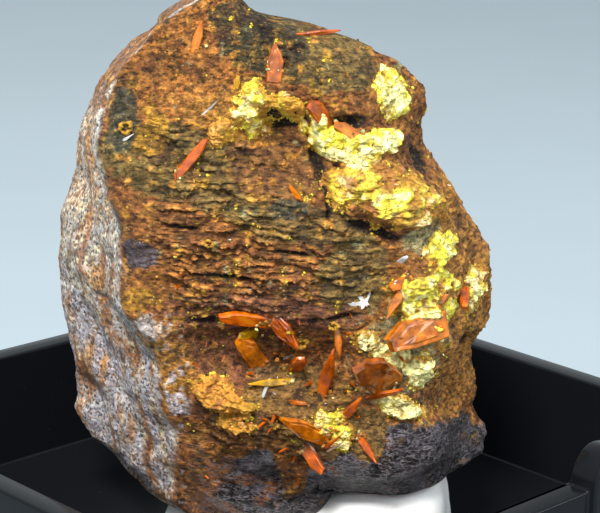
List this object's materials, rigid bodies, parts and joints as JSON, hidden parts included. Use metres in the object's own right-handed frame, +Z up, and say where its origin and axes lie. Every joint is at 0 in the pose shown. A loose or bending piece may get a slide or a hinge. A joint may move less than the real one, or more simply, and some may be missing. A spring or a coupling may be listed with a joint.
{
  "type": "pyromorphite mineral specimen in a display box",
  "caption": "Rusty rock with yellow pyromorphite crusts and orange wulfenite blades, held by white putty in the open tray of a small black display box.",
  "frame": {"origin": "middle of the underside of the display box", "axes": "+Z up, X and Y along the sides of the box; the specimen's display side faces between +X and -Y"},
  "size_m": [0.0324, 0.032, 0.0274],
  "materials": {
    "rusty_rock": "matt, crumbly and banded, grey on the broken side",
    "yellow_crust": "sugary, satin",
    "golden_crust": "crumbly, matt",
    "wulfenite": "clear orange crystal, glossy",
    "putty": "smooth white putty",
    "black_plastic": "moulded, glossy"
  },
  "bodies": {
    "root": {"rock_matrix": "rusty_rock", "pyromorphite_crust_arch": "yellow_crust", "pyromorphite_crust_saddle": "yellow_crust", "pyromorphite_crust_ledge": "yellow_crust", "pyromorphite_crust_shoulder": "yellow_crust", "pyromorphite_crust_flank": "yellow_crust", "pyromorphite_crust_rim": "yellow_crust", "pyromorphite_crust_hollow": "yellow_crust", "pyromorphite_crust_foot": "yellow_crust", "pyromorphite_crust_nest": "yellow_crust", "golden_crust_chunk": "golden_crust", "wulfenite_needle_upper_left": "wulfenite", "wulfenite_spear_top": "wulfenite", "wulfenite_sliver_apex": "wulfenite", "wulfenite_curl_shoulder": "wulfenite", "wulfenite_chip_shoulder": "wulfenite", "wulfenite_chip_flank": "wulfenite", "wulfenite_needle_flank": "wulfenite", "wulfenite_chip_rim": "wulfenite", "wulfenite_block_flank": "wulfenite", "wulfenite_plate_round": "wulfenite", "wulfenite_spear_hollow": "wulfenite", "wulfenite_blade_under_bands": "wulfenite", "wulfenite_wedge_under_bands": "wulfenite", "wulfenite_block_hollow": "wulfenite", "wulfenite_plate_hollow": "wulfenite", "wulfenite_needle_hollow": "wulfenite", "wulfenite_wedge_foot": "wulfenite", "wulfenite_blade_nest": "wulfenite", "wulfenite_blade_nest_upper": "wulfenite", "wulfenite_sliver_foot": "wulfenite", "mounting_putty": "putty", "display_box": "black_plastic"}
  },
  "joints": []
}
